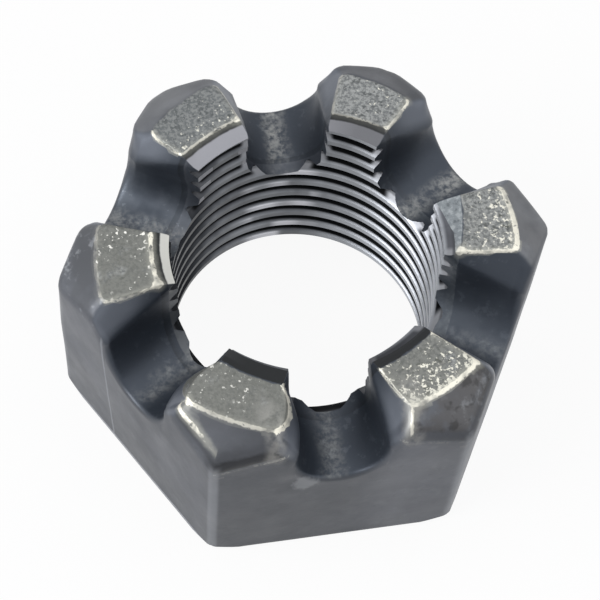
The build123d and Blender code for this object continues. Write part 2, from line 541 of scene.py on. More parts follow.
def by_angle(values, points):
    """A value that changes smoothly with the angle round the nut, from a table of angles in degrees."""
    angle = np.degrees(np.arctan2(points[:, 1], points[:, 0])) % 360
    return np.interp(angle, list(values), list(values.values()))


def worn_steel(points):
    """Signed distance to the worn nut, for points anywhere round it."""
    return steel(np.stack(fold(points), axis=1), by_angle(EDGE_LOSS, points), by_angle(LIP_LOSS, points))


blank_points = press_onto(worn_steel, points_of(nut), rounds=8)
move_points(nut, blank_points)
print("Largest gap to the worn steel, mm:", np.abs(worn_steel(blank_points)).max().round(4))

# %% [markdown]
# ## Tine tops drawn out of true
#
# The six tops were sheared, and the shear dragged each of them its own way by a few tenths of a millimetre.
# Proportional editing could do that by hand. Here the four corners of each top are moved by what the
# photograph shows, and all between them follows by a formula, so that the flats, the bore and the floors of
# the slots stay true.

# %% Corners of the tine tops
TINES = {"A": 240, "B": 300, "C": 0, "D": 60, "E": 120, "F": 180}
TOP_INNER, TOP_OUTER, HALF_WIDTH_IN, HALF_WIDTH_OUT = 13.25, 17.72, 2.56, 3.70
# How far the four corners of each top lie from their true places, in mm outward and counter-clockwise. The
# order of the corners is inner clockwise, inner counter-clockwise, outer counter-clockwise, outer clockwise
DRAWN = {
    "A": ((0.32, -0.07), (0.46, 0.35), (0.11, 0.37), (0.29, -0.20)),
    "B": ((-0.11, -0.61), (-0.04, -0.03), (-0.05, 0.20), (-0.24, 0.35)),
    "C": ((-0.48, -0.28), (0.70, 0.16), (-0.08, -0.38), (0.09, 0.31)),
    "D": ((0.17, 0.09), (-0.19, 0.07), (-0.05, -0.26), (-0.47, 0.32)),
    "E": ((0.22, -0.46), (0.23, 0.75), (-0.45, 0.32), (0.20, -0.04)),
    "F": ((0.00, 0.00), (0.00, 0.04), (0.45, 0.10), (-0.10, -0.43)),
}
# How far a top swells between its corners, in mm: clockwise side, counter-clockwise side
SWOLLEN = {"A": (0.7, 0.45)}


def on_tine(points, name):
    """Places outward and counter-clockwise from a tine's middle, and which points belong to that tine."""
    turn = math.radians(TINES[name])
    outward = points[:, 0] * math.cos(turn) + points[:, 1] * math.sin(turn)
    across = points[:, 1] * math.cos(turn) - points[:, 0] * math.sin(turn)
    return outward, across, np.abs(np.arctan2(across, outward)) <= HALF_SECTOR


def between_corners(points, name, values):
    """A value spread between the four corners of a tine's top, with the order of corners as above."""
    outward, across, _ = on_tine(points, name)
    u = np.clip((outward - TOP_INNER) / (TOP_OUTER - TOP_INNER), 0, 1)
    half_width = HALF_WIDTH_IN + u * (HALF_WIDTH_OUT - HALF_WIDTH_IN)
    v = np.clip(0.5 + 0.5 * across / half_width, 0, 1)
    in_cw, in_ccw, out_ccw, out_cw = values
    return (1 - u) * ((1 - v) * in_cw + v * in_ccw) + u * ((1 - v) * out_cw + v * out_ccw)


# %% Draw the tops
# The metal moves in full from these distances on: inside the flats, off the bore and off a slot's middle.
# It starts to move at one height and moves in full this much higher
INSIDE_FLATS, OFF_BORE, OFF_SLOT_MIDDLE = 1.2, 1.4, 2.8
STILL_BELOW, RISE_TO_FULL = 14, 5


def drawn(points):
    """How far each point of the nut is drawn out of true, in mm."""
    x, s, z = fold(points)
    faces = faces_of(x, s, z)
    free = np.clip(-np.maximum(faces["flat"], faces["next_flat"]) / INSIDE_FLATS, 0, 1)
    free *= np.clip((z - STILL_BELOW) / RISE_TO_FULL, 0, 1) * np.clip(s / OFF_SLOT_MIDDLE, 0, 1)
    move = np.zeros_like(points)
    for name, corners in DRAWN.items():
        here = on_tine(points, name)[2]
        turn = math.radians(TINES[name])
        out = between_corners(points, name, [corner[0] for corner in corners])
        out *= free * here * np.clip(-faces["bore"] / OFF_BORE, 0, 1)
        along = between_corners(points, name, [corner[1] for corner in corners])
        # A side swells most half-way between its corners
        u, v = (between_corners(points, name, share) for share in ((0, 0, 1, 1), (0, 1, 1, 0)))
        swell_cw, swell_ccw = SWOLLEN.get(name, (0, 0))
        along += 4 * u * (1 - u) * (v * swell_ccw - (1 - v) * swell_cw)
        along *= free * here
        move[:, 0] += out * math.cos(turn) - along * math.sin(turn)
        move[:, 1] += out * math.sin(turn) + along * math.cos(turn)
    return move


def undrawn(points):
    """Where points of the finished nut would lie if its tops were true, closing in by a few rounds."""
    true = points
    for _ in range(5):
        true = points - drawn(true)
    return true


blank_points = blank_points + drawn(blank_points)
move_points(nut, blank_points)
print("Farthest drawn, mm:", np.linalg.norm(drawn(blank_points), axis=1).max().round(2))

# %% [markdown]
# ## Waves and dents
#
# Die-forged faces are never flat: they swell and sink by a few hundredths of a millimetre, which bends the
# reflections in them. A Displace modifier could do this. Here the net is pressed inward by sums of sine
# waves, and deeper at a few dents that the photograph shows, because pressing only inward by a known height
# keeps the nut inside the CAD box.

# %% Press the waves and dents
# Slow waves and quick ones: half their height and their length in mm, and the seed of their random draws
WAVES = [(0.03, 9, 1), (0.014, 3.5, 2)]
# Each dent: its angle in degrees, then its distance from the axis, height, width and depth in mm
DENTS = [
    (257, 19.0, 13.6, 1.1, 0.22),
    (284, 19.3, 17.4, 0.9, 0.12),
    (218, 20.6, 8.0, 2.2, 0.05),
    (300, 21.0, 12.5, 2.0, 0.05),
    (66, 15.4, 21.1, 0.8, 0.05),
]


def waves(points, length, seed, count=9):
    """Smooth random waves, seldom past -1 and 1, with about this wavelength in mm."""
    rng = np.random.default_rng(seed)
    total = np.zeros(len(points))
    for _ in range(count):
        direction = rng.normal(size=3)
        direction /= np.linalg.norm(direction)
        wavelength, start = length * rng.uniform(0.7, 1.4), rng.uniform(0, math.tau)
        total += np.sin(points @ direction * math.tau / wavelength + start)
    # A sum of this many waves seldom passes 1.6 times the root of their number
    return total / count**0.5 / 1.6


x, s, z = fold(undrawn(blank_points))
faces = faces_of(x, s, z)
# Nothing is pressed where the nut bears, nor within 1 mm of the bore, where the tap cuts
forged = np.clip((-faces["bore"] - 1.0) / 1.2, 0, 1) * np.clip(z / 1.0, 0, 1) * (faces["foot_sink"] < -0.5)
press = sum(height * (1 + waves(blank_points, length, seed)) for height, length, seed in WAVES)
press = np.maximum(press, 0) * forged
for degrees, radius, height, width, depth in DENTS:
    turn = math.radians(degrees)
    spot = np.array([radius * math.cos(turn), radius * math.sin(turn), height])
    press += depth * np.exp(-((blank_points - spot) ** 2).sum(1) / width**2)
move_points(nut, blank_points - press[:, None] * rows_of(nut.data.vertex_normals, "vector"))
print("Deepest press, mm:", press.max().round(3))

# %% [markdown]
# ## The thread
#
# A right-hand thread of 1 inch, with 14 threads per inch, is cut last, with a tap, so its turns run out
# sharply into the slots. A Screw modifier could wind such a groove. Here a Geometry Nodes tree sweeps a
# tapered bar along a spiral, with the thread's sizes as named inputs, and the bar is taken away from the
# nut: the same order as in the workshop, so the run-outs come by themselves.

# %% Thread sizes
INCH, THREADS_PER_INCH = 25.4, 14
PITCH = INCH / THREADS_PER_INCH
FLANK_SLOPE = math.tan(math.radians(30))
# The groove's root and its flat, and the cutter's inner side, which lies inside the bore to cut through it
GROOVE_ROOT, GROOVE_FLAT, CUTTER_INNER = 12.7, PITCH / 8, 11.45
# The groove's height at the back of the bore, as measured in the photograph, and the turns below that
GROOVE_HEIGHT_AT_BACK, TURNS_BELOW = 8.70, 6
TURNS, STEPS_PER_TURN = 15, 120
groove_start = GROOVE_HEIGHT_AT_BACK - PITCH / 4 - TURNS_BELOW * PITCH
inner_width = GROOVE_FLAT + 2 * (GROOVE_ROOT - CUTTER_INNER) * FLANK_SLOPE
print("Pitch and the cutter's widths, mm:", [round(v, 3) for v in (PITCH, GROOVE_FLAT, inner_width)])

# %% Thread cutter tree
thread_tree, given = new_tree(
    "spiral_thread_cutter",
    {
        "Pitch": "Float",
        "Turns": "Float",
        "Middle radius": "Float",
        "Inner width": "Float",
        "Outer width": "Float",
        "Depth": "Float",
        "Start height": "Float",
        "Steel": "Material",
    },
)
climb = add_node(thread_tree, "ShaderNodeMath", MULTIPLY, {0: given["Pitch"], 1: given["Turns"]})
spiral = add_node(
    thread_tree,
    "GeometryNodeCurveSpiral",
    inputs={
        "Resolution": STEPS_PER_TURN,
        "Rotations": given["Turns"],
        "Start Radius": given["Middle radius"],
        "End Radius": given["Middle radius"],
        "Height": climb,
        "Reverse": True,
    },
)
held_up = add_node(thread_tree, "GeometryNodeSetCurveNormal", {"mode": "Z_UP"}, {"Curve": spiral})
profile = add_node(
    thread_tree,
    "GeometryNodeCurvePrimitiveQuadrilateral",
    {"mode": "TRAPEZOID"},
    {
        "Height": given["Depth"],
        "Bottom Width": given["Inner width"],
        "Top Width": given["Outer width"],
        "Offset": 0.0,
    },
)
# The profile is drawn lying down: a quarter turn points its narrow side away from the axis
pointed_out = add_node(
    thread_tree, "GeometryNodeTransform", inputs={"Geometry": profile, "Rotation": (0, 0, -math.pi / 2)}
)
swept = add_node(
    thread_tree,
    "GeometryNodeCurveToMesh",
    inputs={"Curve": held_up, "Profile Curve": pointed_out, "Fill Caps": True},
)
start = add_node(thread_tree, "ShaderNodeCombineXYZ", inputs={"Z": given["Start height"]})
raised = add_node(thread_tree, "GeometryNodeTransform", inputs={"Geometry": swept, "Translation": start})
real = add_node(thread_tree, "GeometryNodeRealizeInstances", inputs={"Geometry": raised})
finished = add_node(
    thread_tree, "GeometryNodeSetMaterial", inputs={"Geometry": real, "Material": given["Steel"]}
)
add_node(thread_tree, "NodeGroupOutput", inputs={"Geometry": finished})
print("Nodes in the thread tree:", len(thread_tree.nodes))

# %% Thread cutter
sizes = {
    "Pitch": PITCH * MM,
    "Turns": float(TURNS),
    "Middle radius": (GROOVE_ROOT + CUTTER_INNER) / 2 * MM,
    "Inner width": inner_width * MM,
    "Outer width": GROOVE_FLAT * MM,
    "Depth": (GROOVE_ROOT - CUTTER_INNER) * MM,
    "Start height": groove_start * MM,
    "Steel": cut_steel,
}
empty_base = add_object("cutter_base", bpy.data.meshes.new("cutter_base"))
cutter = run_tree(thread_tree, empty_base, sizes, "thread_cutter")
point_outwards(cutter)
cutter_r = np.hypot(*points_of(cutter)[:, :2].T)
print("Cutter radii, mm:", cutter_r.min().round(3), cutter_r.max().round(3))


# %% Cut the thread
def take_away(target, tool, name):
    """Takes one closed mesh away from another and returns the plain mesh; both objects are removed."""
    cut = target.modifiers.new("cut", "BOOLEAN")
    cut.operation, cut.solver, cut.object = "DIFFERENCE", "MANIFOLD", tool
    result = plain_mesh(target, name)
    bpy.data.objects.remove(tool)
    return result


nut = take_away(nut, cutter, "hub_nut_forging")
point_outwards(nut)

# %% [markdown]
# ## Sorting the faces by how they were made
#
# The tap leaves bare steel on the thread and in the foot's countersink, and the rest keeps the forging's
# skin. The faces could be picked by hand in Edit Mode. Their places and directions tell them apart as well,
# because the groove's middle is at a known height for every angle, and that holds after any change of size.


# %% Sort the faces
# How near a face's middle lies to a cut surface, in mm, and how far past it the net may reach
NEAR, PAST = 0.03, 0.01
# A face's direction: the share that points away from the axis, and the share that points up or down
STRAIGHT_IN, LEANS_IN, STEEPEST_FLANK = -0.98, -0.4, 0.8
SHARP_ANGLE = math.radians(28)


def groove_offset(points):
    """Height of points above the middle of the nearest turn of the groove, in mm."""
    angle = np.arctan2(points[:, 1], points[:, 0])
    middle = groove_start + PITCH * angle / math.tau
    return (points[:, 2] - middle + PITCH / 2) % PITCH - PITCH / 2


centres, facing = rows_of(nut.data.polygons, "center") / MM, rows_of(nut.data.polygons, "normal")
centre_r = np.hypot(centres[:, 0], centres[:, 1])
outward = (centres[:, :2] * facing[:, :2]).sum(1) / centre_r
flank_half = GROOVE_FLAT / 2 + (GROOVE_ROOT - centre_r) * FLANK_SLOPE
inside_root = centre_r < GROOVE_ROOT + PAST
flank = np.abs(np.abs(groove_offset(centres)) - flank_half) < NEAR
flank &= inside_root & (np.abs(facing[:, 2]) > STEEPEST_FLANK) & (outward < LEANS_IN)
root = inside_root & (centre_r > GROOVE_ROOT - NEAR) & (outward < STRAIGHT_IN)
crest = (centre_r < BORE + NEAR) & (outward < STRAIGHT_IN)
foot_sink = (np.abs(faces_of(*fold(centres))["foot_sink"]) < NEAR) & (outward < LEANS_IN)
made_by_tap = flank | root | crest | foot_sink
nut.data.materials.clear()
for steel_finish in (scale_steel, cut_steel):
    nut.data.materials.append(steel_finish)
nut.data.polygons.foreach_set("material_index", made_by_tap.astype(np.int32))
nut.data.shade_smooth()
nut.data.set_sharp_from_angle(angle=SHARP_ANGLE)
print("Faces cut:", made_by_tap.sum(), "of", len(centres), "| flank", flank.sum(), "root", root.sum())

# %% [markdown]
# ## Where each finish lies
#
# Each finish belongs to a part of the nut: scale to the forged faces, torn metal to the tops, oil to the
# thread. Masks could be painted by hand. Here the distance from each part is worked out at every point of
# the mesh and stored as an attribute, a *field*, which the materials read. A field changes evenly between
# the points, so what is drawn where it crosses a value is crisp even though the net is coarser than that.

# %% Places on the finished nut
# Stands for far away where a field is a distance in mm
FAR = 8.0
points = points_of(nut)
true_points = undrawn(points)
x, s, z = fold(true_points)
r = np.hypot(x, s)
faces = faces_of(x, s, z)
angle = np.arctan2(points[:, 1], points[:, 0])
degrees = np.degrees(angle) % 360
off_bore = np.hypot(points[:, 0], points[:, 1]) - BORE
corner_gap = np.abs(x * math.sin(HALF_SECTOR) - s * math.cos(HALF_SECTOR))
lip_drop = LIP_WEAR * by_angle(LIP_LOSS, points)
print("Points that get fields:", len(points))

# %% Fields that change round the nut
# Each field has its values by angle in degrees, for the most part from 0 for absent to 1 for full
ROUND_THE_NUT = {
    # Painted light and shade on the tap's cut: brightest on the back right, darker on the left and in the
    # front slot
    "bore_light_and_shade": {
        0: 0.55, 30: 1.05, 55: 0.6, 80: 0.34, 100: 0.32, 120: 0.3, 135: 0.12, 150: 0.0, 205: 0.0,
        235: 0.4, 250: 0.4, 262: 0.05, 278: 0.05, 290: 0.4, 330: 0.5, 360: 0.6,
    },
    # Crests of the thread at the back that catch the light
    "glint": {0: 0.2, 20: 0.2, 45: 0, 70: 0, 80: 1, 98: 1, 112: 0, 330: 0, 360: 0.2},
    # Torn tops: brown rather than grey, duller at the back left, flecked on the left
    "warm_top": {0: 0.3, 60: 0, 120: 0, 180: 1, 240: 1, 300: 0.8, 360: 0.3},
    "top_dull": {0: 0, 90: 0, 95: 1, 145: 1, 150: 0, 360: 0},
    "flecked": {0: 0, 150: 0, 156: 1, 204: 1, 216: 0.6, 262: 0.6, 270: 0, 360: 0},
    # Countersink behind the tops: blackened, bared by the tap's lead, and rubbed in streaks on the right
    "well_dark": {0: 0.1, 30: 0.4, 60: 0.9, 120: 0.8, 180: 1, 300: 1, 330: 0.5, 360: 0.1},
    "well_light": {0: 0.3, 60: 0.38, 120: 1, 180: 0.9, 210: 0.3, 240: 0, 300: 0.05, 360: 0.3},
    "streaked": {0: 1, 26: 1, 34: 0, 326: 0, 334: 1, 360: 1},
    # Crowns: pale clouds of painted light, fine scuffs, dark patches of painted shade, brown mottling, and
    # a band of painted shade at the lip in front
    "crown_painted_light": {0: 0.9, 30: 0.6, 60: 0, 95: 0, 120: 0.7, 180: 0.2, 240: 0, 300: 0.3, 360: 0.9},
    "scuffed": {
        0: 0.2, 60: 0.2, 150: 0, 165: 1, 200: 1, 225: 0, 280: 0, 300: 0.6, 340: 0.2, 360: 0.2,
    },
    "crown_painted_shade": {
        0: 0, 36: 0, 44: 0.6, 85: 0.6, 95: 0, 150: 0, 160: 0.3, 200: 0.3, 225: 1, 262: 1, 275: 0, 360: 0,
    },
    "brown": {0: 0.3, 270: 0, 280: 1, 330: 0.8, 360: 0.3},
    "lip_painted_shade": {0: 0, 235: 0, 242: 1, 258: 1, 262: 0, 280: 0.4, 330: 0.5, 360: 0},
    # Flats: painted shade, darker on the front left, most of all left of the front slot
    "flat_shade": {0: 0, 188: 0, 200: 0.35, 236: 0.35, 243: 1, 270: 1, 288: 0.1, 360: 0},
    # Slots: pale strips on the floors, lighter patches and scratches on two of them, and flares, pale but
    # for one slot
    "floor_pale": {0: 0.5, 30: 0.9, 90: 1, 150: 0.55, 210: 0.65, 270: 0.45, 330: 0.3, 360: 0.5},
    "slot_light": {0: 0, 120: 0, 150: 1, 180: 0, 300: 0, 330: 0.6, 360: 0},
    "flare_pale": {0: 1, 150: 1, 330: 1, 336: 0.15, 354: 0.15, 360: 1},
}
fields = {name: by_angle(values, points) for name, values in ROUND_THE_NUT.items()}
print("Fields that change round the nut:", len(fields))

# %% Fields that are distances
# The slots' floors lie above this height. The bearing face has no worn corners
BELOW_SLOTS, BEARING_SKIN = 12.6, 0.25
# The pale strip on the front slot's floor lies this far off its middle
FRONT_STRIP_OFF = 0.4
# The sectors of the front slot, at 270 degrees, and of the flat that has the lap, at 210
at_front_slot, at_lap_flat = np.abs(degrees - 270) < 30, np.abs(degrees - 210) <= 30
strip_off = FRONT_STRIP_OFF * at_front_slot
fields |= {
    # Below zero on the faces of the slots, above zero on their flares, and into a tine from its slot walls
    "slot_side": np.where(z < BELOW_SLOTS, FAR, np.maximum(faces["flat"], faces["crown"]) - faces["slot"]),
    "flare_side": z - mouth(x)[0],
    "from_slot": -faces["slot"],
    "from_middle": np.abs(s * np.sign((degrees % 60) - 30) + strip_off),
    # Above zero on the crowns, from the true edge over the flats and from its worn lip
    "crown_side": faces["crown"] - faces["flat"],
    "lip_side": faces["crown"] - faces["flat"] + lip_drop,
    "corner_gap": np.where(faces["bottom"] > -BEARING_SKIN, FAR, corner_gap),
    # Outward from the bore, as if the tops were true and as they are, and down from the tops
    "well_reach": r - BORE,
    "outward": off_bore,
    "below_top": HEIGHT - z,
    # Up from the foot, on the flat that has the lap. On the others, 5 mm more keeps it out of the coat
    "foot_line": np.where(at_lap_flat, points[:, 2], points[:, 2] + 5.0),
}
print("Widest corner gap on the nut, mm:", corner_gap.max().round(2))

# %% Fields of the tine tops
# How much the corners of each top sparkle, in the order of the corners above
SPARKLE = {
    "A": (0.30, 0.15, 0.20, 0.35),
    "B": (0.55, 0.50, 1.00, 0.95),
    "C": (0.55, 0.45, 0.85, 0.95),
    "D": (0.45, 0.40, 0.40, 0.65),
    "E": (0.75, 0.70, 0.25, 0.25),
    "F": (0.20, 0.30, 0.25, 0.10),
}
# How far each side of a top rolls over into the slot's flare, in mm: counter-clockwise side, clockwise side
ROLLED = {
    "A": (0.8, 1.5),
    "B": (0.1, 0.15),
    "C": (0.1, 0.1),
    "D": (0.1, 0.1),
    "E": (0.3, 0.2),
    "F": (0.2, 0.3),
}
# Torn metal reaches this far down. From above, a top's outer and inner corners have these roundings
TORN_DEPTH, OUTER_CORNER_ROUND, INNER_CORNER_ROUND = 0.3, 0.6, 0.25

roll, sparkle = np.zeros(len(points)), np.zeros(len(points))
for name, (ccw_roll, cw_roll) in ROLLED.items():
    _, across, here = on_tine(true_points, name)
    roll += here * np.where(across > 0, ccw_roll, cw_roll)
for name, corners in SPARKLE.items():
    sparkle += between_corners(true_points, name, corners) * on_tine(points, name)[2]
# A side rolls over most half-way between its corners
half_way = np.clip((r - SINK) / (CROWN_RADIUS - SINK), 0, 1)
roll *= 4 * half_way * (1 - half_way)
top_side = faces["slot"] - faces["top"] - roll
top_edge = rounded_max(r - CROWN_RADIUS, top_side, OUTER_CORNER_ROUND)
top_edge = rounded_max(top_edge, SINK - r, INNER_CORNER_ROUND)
fields["top_face"] = -np.maximum(top_edge, HEIGHT - TORN_DEPTH - roll - z)
fields["sparkle"] = sparkle
print("Points on the torn tops:", int((fields["top_face"] > 0).sum()))

# %% Fields of the lap, the chip and the thread
# A lap: a fold of skin that the die closed into a line, down the flat that faces left and front. The line
# passes this far from the flat's middle at this height, and leans by this much for each mm
LAP_FLAT, LAP_OFF_MIDDLE, LAP_HEIGHT, LAP_LEAN = 210, 4.4, 16.2, 0.055
# How near a point must be to count as on that flat, and as on the foot's countersink, in mm
NEAR_FLAT, NEAR_FOOT_SINK = 0.3, 0.05
# The middle of a small chip at the left of the front slot's floor
CHIP = (-2.9, -19.0, 13.0)
# Each turn of the thread has its own streaks, which fade in and out along it: the strength of a wave, how
# fast it changes with the angle, and by how much it shifts from one turn to the next
STREAKS = [(1.0, 5.3, 2.4), (0.6, 13.7, 1.7)]
# How far the painted shade reaches from the groove's root, in mm more than at the back left. It reaches
# less far in front, apart from the mouth of the front slot
ROOT_SHADE_REACH = {
    0: 0.14, 30: 0.17, 60: 0.12, 90: 0.03, 130: 0, 210: 0, 230: -0.2, 250: -0.2, 260: 0.05, 280: 0.05,
    290: -0.2, 315: -0.2, 330: 0.1, 360: 0.14,
}

lap_turn = math.radians(LAP_FLAT)
off_flat = points[:, 0] * math.cos(lap_turn) + points[:, 1] * math.sin(lap_turn) - FLAT
lap_across = points[:, 1] * math.cos(lap_turn) - points[:, 0] * math.sin(lap_turn)
lap_across += LAP_OFF_MIDDLE - LAP_LEAN * (LAP_HEIGHT - points[:, 2])
turn_number = np.floor((points[:, 2] - groove_start - PITCH * angle / math.tau) / PITCH)
in_foot_sink = faces["foot_sink"] > -NEAR_FOOT_SINK
fields |= {
    "lap_across": np.where(np.abs(off_flat) < NEAR_FLAT, lap_across, FAR),
    "chip_gap": np.linalg.norm(points - np.array(CHIP), axis=1),
    "streak": sum(size * np.sin(rate * angle + shift * turn_number) for size, rate, shift in STREAKS),
    # The foot's countersink gets no painted shade, so it reads as far from the root
    "root_shade": np.where(in_foot_sink, -1, off_bore) + by_angle(ROOT_SHADE_REACH, points),
}
print("Turns of the thread that show:", int(turn_number.max() - turn_number.min()))

# %% [markdown]
# ## Worn lines and painted highlights along the edges
#
# Handling rubs the scale off an edge and leaves a bright line, up to four tenths of a millimetre to each
# side. Two of the lines, the brow above a crown's worn lip and an arris by a slot, are painted highlights
# along rounded edges instead. Pointiness in a material finds edges too, but gives all of them one look, and
# here each line has its own width and brightness. Where two faces meet, the distances to them are equal, so
# their difference crosses zero along the edge and grows evenly to both sides.


# %% Distances to the edges
# How deep under the surface a point may lie and still count as on it, on all edges and for a brow, and
# how far down from a top's edge
SKIN_DEPTH, BROW_SKIN_DEPTH, TOP_EDGE_DEPTH = 0.35, 0.6, 0.4
# A brow is a painted highlight along the rounding above the crown's lip: how far above, in times the lip's
# wear, how near to a corner of the hexagon it starts to fade, in mm, and by how much for each mm
BROW_ABOVE_LIP, BROW_FADES_FROM, BROW_FADE = 1.2, 2.2, 0.12


def edge_gap(first, second):
    """Distance to the edge where two faces meet, from the distances to the faces."""
    return np.hypot(first - second, np.maximum(-np.maximum(first, second) - SKIN_DEPTH, 0))


brow_gap = np.abs(faces["crown"] - faces["flat"] - BROW_ABOVE_LIP * lip_drop)
brow_gap = np.where(faces["crown"] > -BROW_SKIN_DEPTH, brow_gap, FAR)
edge_gaps = {
    "arris": edge_gap(faces["slot"], faces["crown"]),
    "lip": edge_gap(faces["crown"] + lip_drop, faces["flat"]),
    "brow": brow_gap + BROW_FADE * np.maximum(BROW_FADES_FROM - corner_gap, 0),
}
# A top's rim, sides and well are parts of one rounded outline, which meet in small overlaps
around_top = np.where(z > HEIGHT - TOP_EDGE_DEPTH - roll, np.abs(top_edge), FAR)
top_parts = {"rim": (r - CROWN_RADIUS, 0.2), "side": (top_side, 0.2), "well": (SINK - r, 0.1)}
farthest_out = np.max([distance for distance, _ in top_parts.values()], axis=0)
for name, (distance, overlap) in top_parts.items():
    edge_gaps[name] = np.where(distance > farthest_out - overlap, around_top, FAR)
print("Kinds of edge:", ", ".join(edge_gaps))

# %% Worn lines, painted highlights and burrs
# Each line: tine, edge, side of the tine (0 both, 1 counter-clockwise, -1 clockwise), how far the line
# reaches to each side of the edge in mm, and brightness
# The brow and the arris lines are painted highlights along rounded edges; the others are worn metal
WORN_LINES_AND_HIGHLIGHTS = [
    ("A", "rim", 0, 0.13, 0.50), ("A", "side", 1, 0.38, 1.00), ("A", "side", -1, 0.06, 0.25),
    ("A", "brow", -1, 0.17, 1.00), ("A", "lip", 1, 0.10, 0.35),
    ("B", "rim", 0, 0.16, 1.00), ("B", "side", 1, 0.10, 0.75), ("B", "side", -1, 0.10, 0.60),
    ("B", "arris", -1, 0.12, 0.60), ("B", "lip", 0, 0.10, 0.25),
    ("C", "rim", 0, 0.22, 1.00), ("C", "side", -1, 0.13, 0.90), ("C", "side", 1, 0.08, 0.30),
    ("D", "side", -1, 0.13, 0.90), ("D", "side", 1, 0.10, 0.40), ("D", "well", 0, 0.08, 0.35),
    ("E", "well", 0, 0.11, 0.50), ("E", "side", 1, 0.09, 0.90), ("E", "side", -1, 0.09, 0.50),
    ("F", "well", 0, 0.15, 0.95), ("F", "side", 1, 0.09, 0.75), ("F", "rim", 0, 0.12, 0.35),
]
# Bright burrs at corners of the tops: tine, corner (0 to 3 in the order above), radius in mm, brightness
BURRS = [
    ("E", 0, 0.3, 1.0), ("A", 3, 0.4, 1.0), ("C", 0, 0.4, 0.9),
    ("B", 2, 0.4, 0.9), ("F", 1, 0.45, 0.9), ("D", 3, 0.3, 0.9),
]
CORNER_PLACES = [
    (TOP_INNER, -HALF_WIDTH_IN),
    (TOP_INNER, HALF_WIDTH_IN),
    (TOP_OUTER, HALF_WIDTH_OUT),
    (TOP_OUTER, -HALF_WIDTH_OUT),
]
# A tine's lines reach a little past the middles of its slots. Its burrs lie near its top
HALF_TINE_DEGREES, BURR_DEPTH = 30.5, 1.2

marks = []
for tine, edge, hand, width, light in WORN_LINES_AND_HIGHLIGHTS:
    off = (degrees - TINES[tine] + 180) % 360 - 180
    here = (np.abs(off) <= HALF_TINE_DEGREES) & (off * hand >= 0)
    marks.append((np.where(here, edge_gaps[edge] - width, FAR), light))
for tine, corner, radius, light in BURRS:
    outward, across, here = on_tine(true_points, tine)
    place_out, place_across = CORNER_PLACES[corner]
    gap = np.hypot(outward - place_out, across - place_across)
    here &= z > HEIGHT - BURR_DEPTH
    marks.append((np.where(here, np.hypot(gap, HEIGHT - z) - radius, FAR), light))
# The nearest mark counts
line_gap, line_light = np.full(len(points), FAR), np.zeros(len(points))
for gap, light in marks:
    closer = gap < line_gap
    line_gap, line_light = np.where(closer, gap, line_gap), np.where(closer, light, line_light)
fields |= {"line_gap": line_gap, "line_light": line_light}
# The edges between the front slot's flares and the crowns are paler over a broader strip
fields["arris_gap"] = np.where(at_front_slot, edge_gaps["arris"], FAR)
print("Points within worn lines and burrs:", int((line_gap < 0).sum()))

# %% Store the fields
for name, values in fields.items():
    attribute = nut.data.attributes.new(name, "FLOAT", "POINT")
    attribute.data.foreach_set("value", values.astype(np.float32))
print("Fields on the points:", ", ".join(fields))

# %% [markdown]
# ## The scale on the forged faces
#
# Hot steel grows a thin, hard skin of blue-grey iron oxide. It is half metal, half mineral: it reflects,
# but dimly, and its colour drifts in soft clouds where it cooled at another rate or rubbed off. Fine pits
# make its reflections soft. The tine tops were sheared, which tears the steel into bright grains. Such a
# skin could be a painted picture. Here it is laid on in coats, as it grew and wore, and a few coats are
# painted light and shade: the darker slots and front flats, pale and dark patches on the crowns, and a
# dark band at a worn lip. Each coat is a colour with a mask, made of fields and random lumps of a known
# size, so it fits the nut at any resolution.


# %% Colours, masks and coats
SMOOTH = {"interpolation_type": "SMOOTHSTEP"}


def linear_colour(hex_code):
    """An sRGB hex colour as the linear values that a socket takes."""
    parts = [int(hex_code[i : i + 2], 16) / 255 for i in (1, 3, 5)]
    return (*(p / 12.92 if p <= 0.04045 else ((p + 0.055) / 1.055) ** 2.4 for p in parts), 1.0)


def lumps_of(place, size_mm, detail=3.0, roughness=0.6):
    """Inputs of a noise whose lumps are about this many millimetres across."""
    # At a scale of 1, lumps are about half a metre across
    return {"Vector": place, "Scale": 0.5 / (size_mm * MM), "Detail": detail, "Roughness": roughness}


def drift(tree, place, size_mm, detail, low, high):
    """A value that drifts between two others, in lumps about this many millimetres across."""
    lumps = add_node(tree, "ShaderNodeTexNoise", inputs=lumps_of(place, size_mm, detail))
    return add_node(tree, "ShaderNodeMapRange", inputs={0: lumps, 1: 0.3, 2: 0.7, 3: low, 4: high})


def mask(tree, place, share, limits):
    """Where a coat lies: its greatest share, cut down by each limit in turn.

    A limit is a source, the value at which the coat is absent and the value at which it is full. The source
    is a field's name, or the size in mm of random lumps. Two more numbers fray a field: the size in mm of
    the lumps that do it, and how far they move it.
    """
    for source, absent, full, *fray in limits:
        if isinstance(source, str):
            value = add_node(tree, "ShaderNodeAttribute", {"attribute_name": source}).outputs["Fac"]
        else:
            value = add_node(tree, "ShaderNodeTexNoise", inputs=lumps_of(place, source))
        if fray:
            size_mm, reach = fray
            noise = add_node(tree, "ShaderNodeTexNoise", inputs=lumps_of(place, size_mm, 3, 0.7))
            moved = add_node(tree, "ShaderNodeMath", MULTIPLY_ADD, {0: noise, 1: reach, 2: value})
            absent, full, value = absent + reach / 2, full + reach / 2, moved
        within = add_node(tree, "ShaderNodeMapRange", SMOOTH, {0: value, 1: absent, 2: full})
        share = add_node(tree, "ShaderNodeMath", MULTIPLY, {0: within, 1: share})
    return share


def coats(tree, place, under, rows):
    """Lays coats over a colour. Each row is a colour, its greatest share and its limits."""
    for colour, share, limits in rows:
        pair = [linear_colour(c) if isinstance(c, str) else c for c in (under, colour)]
        share = mask(tree, place, share, limits)
        under = add_node(tree, "ShaderNodeMix", {"data_type": "RGBA"}, {0: share, 6: pair[0], 7: pair[1]})
    return under


